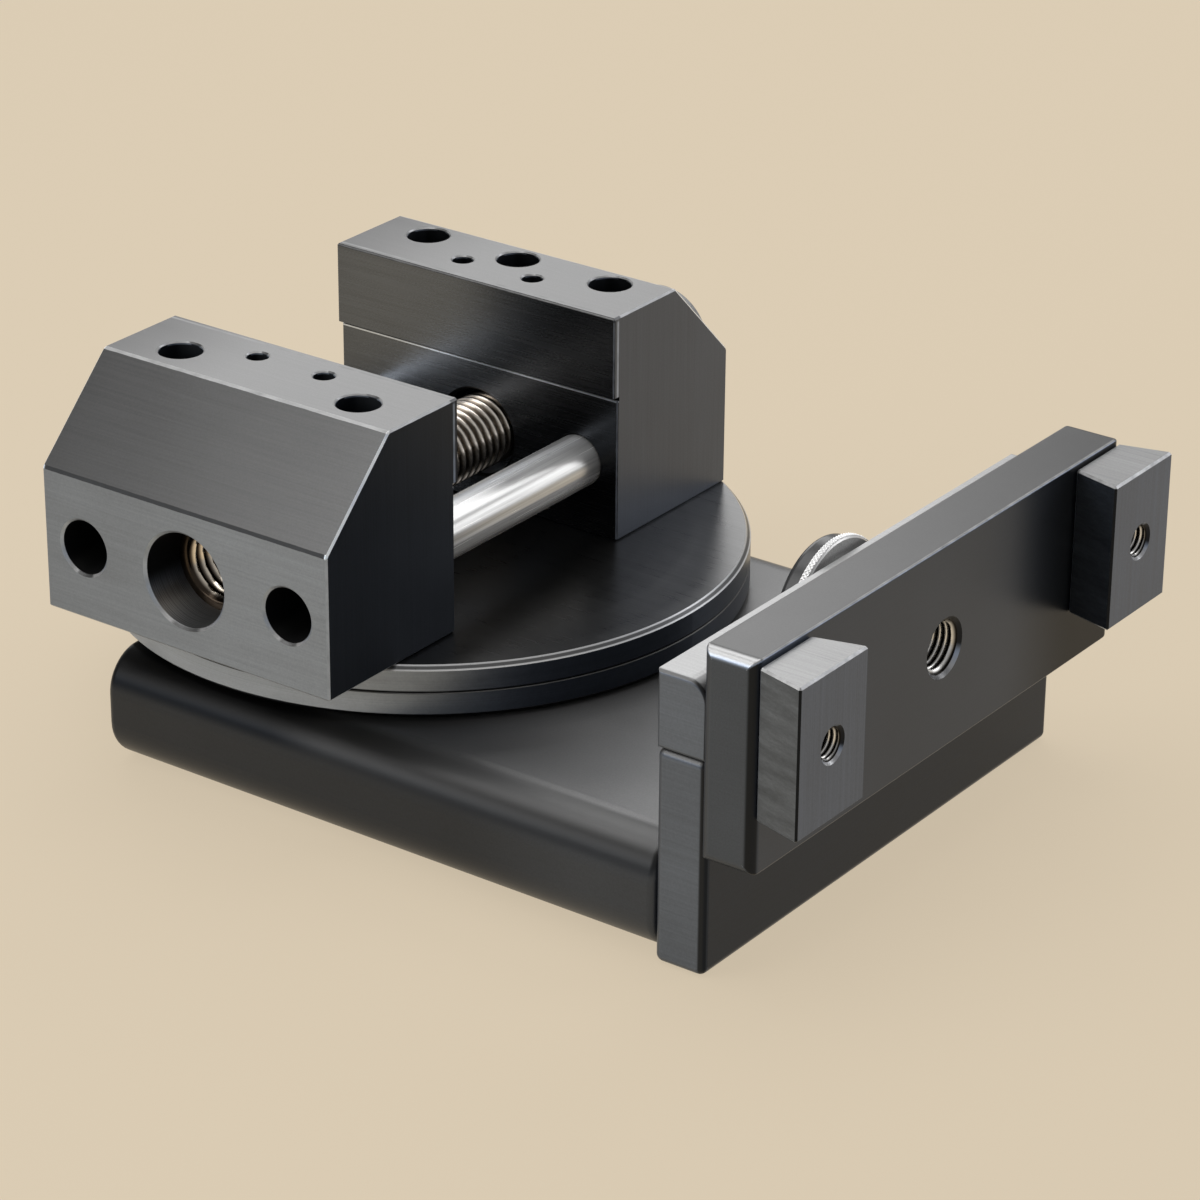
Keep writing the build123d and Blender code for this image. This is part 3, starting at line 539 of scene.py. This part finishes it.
# painted shading: the brightness listed for each face direction stands in for how light falls on it
finishes = {
    "front_jaw": jaw_finish("brushed_front_jaw_steel", "front_jaw", -1, (0.87, 0.99, 1.165),
                            {"top": (0.18, 0.6, 0.36), "slope": (0.088, 0.6, 0.36), "broad": (0.27, 0.45, 0.4),
                             "ends": (0.05, 0.8, 0.34)}),
    "rear_jaw": jaw_finish("brushed_rear_jaw_steel", "rear_jaw", 1, (0.9, 0.985, 1.12),
                           {"top": (0.175, 0.6, 0.36), "slope": (0.18, 0.55, 0.36), "broad": (0.4, 0.95, 0.27),
                            "ends": (0.115, 0.6, 0.38)}),
    "side_plate": plate_finish("darkened_side_plate_steel",
                               {"top": (0.3, 0.6, 0.38), "slope": (0.2, 0.6, 0.38), "broad": (0.155, 0.6, 0.38),
                                "ends": (0.04, 0.92, 0.38)}),
    "upper_plate": plate_finish("darkened_upper_plate_steel",
                                {"top": (0.42, 0.6, 0.36), "slope": (0.2, 0.6, 0.38), "broad": (0.18, 0.6, 0.38),
                                 "ends": (0.045, 0.8, 0.38)}),
    "base_block": base_finish(),
    "cross_bar": bar_finish(),
    "turntable": turned_finish(),
}
block = block_finish()
screw_metal = thread_finish("nickel_screw_steel", (0.95, 0.87, 0.78), (0.16, 0.13, 0.1), "y", (0.0, screw_z),
                            lead_radius - 0.02, lead_radius - 0.6, 0.22)
bronze = turned_metal_finish("bush_bronze", (0.72, 0.62, 0.5), 0.24)
fastener = turned_metal_finish("black_oxide_fastener", (0.06, 0.06, 0.062), 0.42)
screw_knob = turned_metal_finish("screw_knob_steel", (0.2, 0.2, 0.2), 0.4, metal=0.6)
washer_steel = turned_metal_finish("washer_steel", (0.35, 0.35, 0.35), 0.35)
bush_thread = thread_finish("bush_thread_bronze", (0.85, 0.76, 0.64), (0.05, 0.038, 0.028), "y", (0.0, screw_z),
                            lead_radius - 0.8, lead_radius - 0.15, 0.2)
knurled = knob_finish()
cap = cap_finish()
for names, material in (
        (("left_guide_rod", "right_guide_rod"), rod),
        (("near_end_block", "far_end_block"), block),
        (("lead_screw",), screw_metal),
        (("threaded_bush", "screw_bush", "pivot_bush", "thrust_washer", "screw_washer"), bronze),
        (("pivot_post",), washer_steel),
        (("screw_knob",), screw_knob),
        (("clamp_washer", "retaining_washer"), washer_steel),
        (("clamp_knob_cap",), cap),
        (("clamp_screw",), knurled)):
    for name in names:
        finishes[name] = material
for name, node in nodes.items():
    for slot in node.material_slots:
        slot.material = finishes.get(name, fastener)


# ---------------------------------------------------------------- surfaces
def around(axis, centre, radius, angle, along):
    """Points at a radius and an angle round an axis; the angle turns right-handed about it."""
    if axis == "y":
        points = (centre[0] + radius * np.sin(angle), along + 0 * radius, centre[2] + radius * np.cos(angle))
    else:
        points = (along + 0 * radius, centre[1] + radius * np.cos(angle), centre[2] + radius * np.sin(angle))
    return np.stack(np.broadcast_arrays(*points), axis=-1)


def shell(name, points, body, material, slot, ring=False, sharp=35.0):
    """A closed surface from a grid of points in millimetres, rows by columns; columns close round.

    With ring the rows close too; otherwise the first and last rows lie on the axis and merge to a point each.
    """
    rows, columns = points.shape[:2]
    index = np.arange(rows * columns).reshape(rows, columns)
    if ring:
        index = np.vstack([index, index[:1]])
    turned = np.roll(index, -1, axis=1)
    faces = np.stack([index[:-1], index[1:], turned[1:], turned[:-1]], axis=-1).reshape(-1, 4)
    mesh = bpy.data.meshes.new(name)
    mesh.vertices.add(rows * columns)
    mesh.vertices.foreach_set("co", (points * MM).astype(np.float32).ravel())
    mesh.loops.add(faces.size)
    mesh.loops.foreach_set("vertex_index", faces.astype(np.int32).ravel())
    mesh.polygons.add(len(faces))
    mesh.polygons.foreach_set("loop_start", np.arange(0, faces.size, 4, dtype=np.int32))
    mesh.update(calc_edges=True)
    work = bmesh.new()
    work.from_mesh(mesh)
    bmesh.ops.remove_doubles(work, verts=work.verts, dist=1e-7)
    bmesh.ops.recalc_face_normals(work, faces=work.faces)
    work.to_mesh(mesh)
    work.free()
    mesh.polygons.foreach_set("use_smooth", np.ones(len(mesh.polygons), dtype=bool))
    mesh.set_sharp_from_angle(angle=math.radians(sharp))
    mesh.materials.append(material)
    piece = bpy.data.objects.new(name, mesh)
    bpy.context.scene.collection.objects.link(piece)
    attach(piece, body)
    return piece


def crest_distance(along, angle, pitch):
    """0 on the crest of a right-hand thread and 1 in its root, from the distance along and the angle round."""
    phase = along / pitch - angle / (2 * np.pi)
    return 2 * np.abs(phase - np.round(phase))


def rows_of(values, columns):
    """One row of a profile given as a number or a row of numbers."""
    return np.broadcast_to(np.asarray(values, float), (columns,))


def profile_shell(name, axis, centre, stations, columns, **rest):
    """A turned shape: each station is (distance along, radius), and the radius may vary round."""
    angle = np.linspace(0, 2 * np.pi, columns, endpoint=False)
    along = np.array([a for a, _ in stations])[:, None]
    radius = np.array([rows_of(r, columns) for _, r in stations])
    return shell(name, around(axis, centre, radius, angle[None, :], along), **rest)


lead_low, lead_high = box_mm("lead_screw")
screw_centre = (0.0, 0.0, screw_z)
lead_pitch, lead_depth = 2.0, 1.15
nose_radius, cone_radius, cone_rise = 4.9, 5.2, 1.2
tail_radius, tail_bevel = 5.0, 0.4
recess_depth, axial_gap = 6.3, 0.1
thread_clearance, bush_bore, mouth_bevel = 0.08, 6.1, 0.35
shoulder = box_mm("rear_jaw")[0][1] + pad_proud + recess_depth - axial_gap
columns = 96
turn = np.linspace(0, 2 * np.pi, columns, endpoint=False)


def lead_thread(y):
    """Rounded crests at the full radius, falling by a quarter cosine wave to sharp roots."""
    return lead_radius - lead_depth * (1 - np.cos(np.pi / 2 * crest_distance(y, turn, lead_pitch)))


def rows_along(start, end, pitch, per_turn):
    """Places along a thread, so many to each of its turns."""
    return np.linspace(start, end, int((end - start) / pitch * per_turn))


stations = [(lead_low[1], 0.0), (lead_low[1], nose_radius)]
for y in rows_along(lead_low[1], shoulder, lead_pitch, 12):
    stations.append((y, np.minimum(lead_thread(y), cone_radius + (y - lead_low[1]) * cone_rise)))
stations += [(shoulder, tail_radius), (lead_high[1] - tail_bevel, tail_radius),
             (lead_high[1], tail_radius - tail_bevel), (lead_high[1], 0.0)]
lead = profile_shell("lead_screw_thread", "y", screw_centre, stations, columns,
                     body="lead_screw_assembly", material=screw_metal, slot="screw_steel", sharp=50.0)
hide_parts("lead_screw")

bush_low, bush_high = box_mm("threaded_bush")
bush_radius = (bush_high[0] - bush_low[0]) / 2
inner = []
for y in rows_along(bush_low[1], bush_high[1], lead_pitch, 14):
    mouth = lead_radius + mouth_bevel - (y - bush_low[1])
    inner.append((y, np.maximum(np.maximum(lead_thread(y) + thread_clearance, bush_bore), mouth)))
stations = inner + [(bush_high[1], bush_radius), (bush_low[1], bush_radius)]
bush = profile_shell("threaded_bush_thread", "y", screw_centre, stations, columns,
                     body="front_jaw_assembly", material=bush_thread, slot="bronze", ring=True, sharp=50.0)
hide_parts("threaded_bush")


def thread_lining(name, centre, start, end, wall, crest, pitch, body):
    """The thread of a tapped hole along X, as a thin ring on the wall of its bore.

    Its crests rise from the wall by a cosine wave and are cut by the mouth's cone, which it meets at its end.
    """
    cut = thread_finish(name + "_steel", (0.8, 0.79, 0.77), (0.012, 0.011, 0.01), "x", centre[1:], crest + 0.05,
                        wall - 0.15, 0.28)
    root, outer = wall - 0.02, wall - 0.005
    inner = []
    for x in rows_along(start, end, pitch, 14):
        rise = np.cos(np.pi / 2 * crest_distance(x, turn, pitch)) ** 1.6
        inner.append((x, np.maximum(root - (wall - crest) * rise, root - (end - x))))
    return profile_shell(name, "x", centre, inner + [(end, outer), (start, outer)], columns,
                         body=body, material=cut, slot="plate_steel", ring=True, sharp=60.0)


bar_low, bar_high = box_mm("cross_bar")
bar_middle = (bar_low[1] + bar_high[1]) / 2
bar_axis = (0.0, bar_middle, (bar_low[2] + bar_high[2]) / 2)
thread_lining("bar_hole_thread", bar_axis, start=bar_high[0] - 5.75, end=bar_high[0] - 0.6, wall=5.0, crest=4.2,
              pitch=1.25, body="cross_bar_assembly")
for name in ("near_end_block", "far_end_block"):
    low, high = box_mm(name)
    hole = (0.0, (low[1] + high[1]) / 2, (low[2] + high[2]) / 2)
    thread_lining(name + "_hole_thread", hole, start=low[0] + 0.02, end=high[0] - 0.45, wall=3.0, crest=2.45,
                  pitch=1.0, body="cross_bar_assembly")

knob_low, knob_high = box_mm("clamp_screw")
flange_radius, flange_thickness = (knob_high[1] - knob_low[1]) / 2, 1.7
boss_radius, stem_radius, stem_bevel = 6.0, 3.95, 0.6
rim_bevel, rim_edge = 0.25, 0.3
flange_right = box_mm("clamp_washer")[0][0]
flange_left = flange_right - flange_thickness
knurl_columns, knurl_count, knurl_depth, knurl_lean = 1368, 114, 0.24, 0.8
knurl_turn = np.linspace(0, 2 * np.pi, knurl_columns, endpoint=False)


def zigzag(t):
    """0 at whole numbers and 1 half way between them."""
    return 2 * np.abs(t - np.round(t))


def knurl(x):
    """Small pyramids: the deeper of two sets of grooves that wind round the rim in opposite directions."""
    round_rim, lean = knurl_count * knurl_turn / (2 * np.pi), (x - flange_left) / knurl_lean
    return flange_radius - knurl_depth * np.maximum(zigzag(round_rim + lean), zigzag(round_rim - lean)) ** 1.5


edge_radius = flange_radius - rim_edge
stations = [(knob_low[0], 0.0), (knob_low[0], boss_radius), (flange_left, boss_radius),
            (flange_left, edge_radius - rim_bevel), (flange_left + rim_bevel, edge_radius)]
stations += [(x, knurl(x)) for x in np.linspace(flange_left + rim_edge, flange_right - rim_edge, 17)]
stations += [(flange_right - rim_bevel, edge_radius), (flange_right, edge_radius - rim_bevel),
             (flange_right, stem_radius), (knob_high[0] - stem_bevel, stem_radius),
             (knob_high[0], stem_radius - stem_bevel), (knob_high[0], 0.0)]
knob = profile_shell("clamp_screw_knurled", "x", bar_axis, stations, knurl_columns,
                     body="clamp_screw_assembly", material=knurled, slot="grey_steel", sharp=40.0)
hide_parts("clamp_screw")

# ---------------------------------------------------------------- floor, lights and camera
FLOOR_TAN = (0.70, 0.597, 0.451, 1.0)
FLOOR_REACH, FLOOR_LEVEL, GLOW_SHARE = 4, -0.0002, 0.8
SKY_WHITE, SKY_STRENGTH = (1.0, 1.0, 1.0, 1.0), 0.38
CAMERA_PLACE, FOCAL_LENGTH, SENSOR_WIDTH = (0.45813987, -0.57820703, 0.36344479), 131.47, 36.0
CAMERA_ANGLES = (35.923, 25.175, 0.448)

floor_finish = Finish("plain_tan_floor")
camera_ray, glossy_ray, through_ray = (floor_finish.node("ShaderNodeLightPath", output=name) for name in
                                       ("Is Camera Ray", "Is Glossy Ray", "Is Transmission Ray"))
seen = camera_ray.most(glossy_ray).most(through_ray)
lit = floor_finish.node("ShaderNodeBsdfDiffuse", inputs={"Color": FLOOR_TAN})
glow = floor_finish.node("ShaderNodeEmission", inputs={"Color": FLOOR_TAN, "Strength": 1.0})
floor_finish.made_of(floor_finish.node("ShaderNodeMixShader", inputs={0: seen * GLOW_SHARE, 1: lit, 2: glow}))
floor_mesh = bpy.data.meshes.new("floor")
floor_corners = [(x * FLOOR_REACH, y * FLOOR_REACH, FLOOR_LEVEL) for x, y in ((-1, -1), (1, -1), (1, 1), (-1, 1))]
floor_mesh.from_pydata(floor_corners, [], [(0, 1, 2, 3)])
floor_mesh.materials.append(floor_finish.material)
floor = bpy.data.objects.new("floor", floor_mesh)
bpy.context.scene.collection.objects.link(floor)

world = bpy.data.worlds.new("studio")
bpy.context.scene.world = world
world.use_nodes = True
sky = world.node_tree.nodes["Background"].inputs
sky["Color"].default_value = SKY_WHITE
sky["Strength"].default_value = SKY_STRENGTH


def softbox(name, place, target, width, height, brightness):
    """A rectangular lamp at a place, turned to a target; brightness is the radiance of its face."""
    lamp = bpy.data.lights.new(name, "AREA")
    lamp.shape, lamp.size, lamp.size_y = "RECTANGLE", width, height
    lamp.energy = brightness * math.pi * width * height
    holder = bpy.data.objects.new(name, lamp)
    holder.location = place
    holder.rotation_euler = (Vector(target) - Vector(place)).to_track_quat("-Z", "Y").to_euler()
    holder.visible_camera = False
    bpy.context.scene.collection.objects.link(holder)


softbox("overhead_softbox", (-0.15, 0.1, 1.1), (0.02, 0, 0), 0.9, 0.9, 2.0)
softbox("back_left_softbox", (-1.0, 0.95, 0.75), (0.0, 0.0, 0.05), 1.0, 0.7, 1.9)
softbox("front_left_softbox", (-0.6, -1.1, 0.55), (0.0, 0.0, 0.05), 0.8, 0.5, 3.2)
softbox("front_high_softbox", (-0.17, -0.27, 0.40), (0.06, -0.05, 0.04), 0.22, 0.22, 2.2)
softbox("back_high_softbox", (0.07, 0.95, 0.88), (0.0, 0.0, 0.05), 0.9, 0.4, 2.2)
softbox("right_softbox", (0.9, 1.0, 0.45), (0.1, 0.0, 0.04), 0.6, 0.6, 2.2)

azimuth, elevation, roll = (math.radians(a) for a in CAMERA_ANGLES)
back = Vector((math.sin(azimuth) * math.cos(elevation), -math.cos(azimuth) * math.cos(elevation), math.sin(elevation)))
right = Vector((math.cos(azimuth), math.sin(azimuth), 0.0))
up = back.cross(right)
right, up = math.cos(roll) * right + math.sin(roll) * up, math.cos(roll) * up - math.sin(roll) * right
camera_data = bpy.data.cameras.new("camera")
camera_data.lens = FOCAL_LENGTH
camera_data.sensor_width = SENSOR_WIDTH
camera = bpy.data.objects.new("camera", camera_data)
turned = Matrix((right, up, back)).transposed().to_4x4()
camera.matrix_world = Matrix.Translation(CAMERA_PLACE) @ turned
bpy.context.scene.collection.objects.link(camera)
bpy.context.scene.camera = camera
bpy.context.scene.view_settings.view_transform = "Standard"
